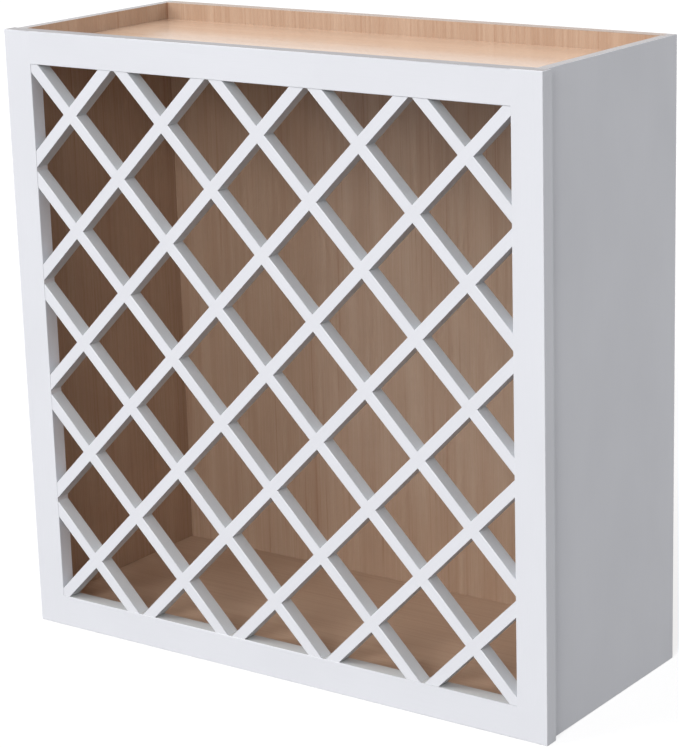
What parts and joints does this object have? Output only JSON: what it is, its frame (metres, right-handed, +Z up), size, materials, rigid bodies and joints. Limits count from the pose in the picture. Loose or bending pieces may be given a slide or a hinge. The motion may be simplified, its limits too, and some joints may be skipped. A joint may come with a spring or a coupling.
{
  "type": "wine cabinet",
  "caption": "Painted wall cabinet whose open front is a fixed diagonal lattice that holds wine bottles, on a plywood case with a recessed top.",
  "frame": {"origin": "middle of the cabinet's footprint, on the plane of its lowest edges", "axes": "+X to the viewer's right when facing the lattice, +Y from the front to the wall, +Z up"},
  "size_m": [0.762, 0.3048, 0.762],
  "materials": {
    "white_paint": "satin white paint sprayed on solid wood and plywood",
    "maple": "clear satin lacquer on maple veneer",
    "birch": "bare turned birch"
  },
  "bodies": {
    "root": {"stile_left": "white_paint", "stile_right": "white_paint", "rail_top": "white_paint", "rail_bottom": "white_paint", "frame_dowel_top_left_1": "birch", "frame_dowel_top_left_2": "birch", "frame_dowel_top_right_1": "birch", "frame_dowel_top_right_2": "birch", "frame_dowel_bottom_left_1": "birch", "frame_dowel_bottom_left_2": "birch", "frame_dowel_bottom_right_1": "birch", "frame_dowel_bottom_right_2": "birch", "side_left": "white_paint", "side_right": "white_paint", "top_panel": "maple", "bottom_panel": "maple", "back_panel": "maple", "hanging_rail_top": "maple", "hanging_rail_bottom": "maple", "lattice_rise_1": "white_paint", "lattice_rise_2": "white_paint", "lattice_rise_3": "white_paint", "lattice_rise_4": "white_paint", "lattice_rise_5": "white_paint", "lattice_rise_6": "white_paint", "lattice_rise_7": "white_paint", "lattice_rise_8": "white_paint", "lattice_rise_9": "white_paint", "lattice_fall_1": "white_paint", "lattice_fall_2": "white_paint", "lattice_fall_3": "white_paint", "lattice_fall_4": "white_paint", "lattice_fall_5": "white_paint", "lattice_fall_6": "white_paint", "lattice_fall_7": "white_paint", "lattice_fall_8": "white_paint", "lattice_fall_9": "white_paint"}
  },
  "joints": []
}
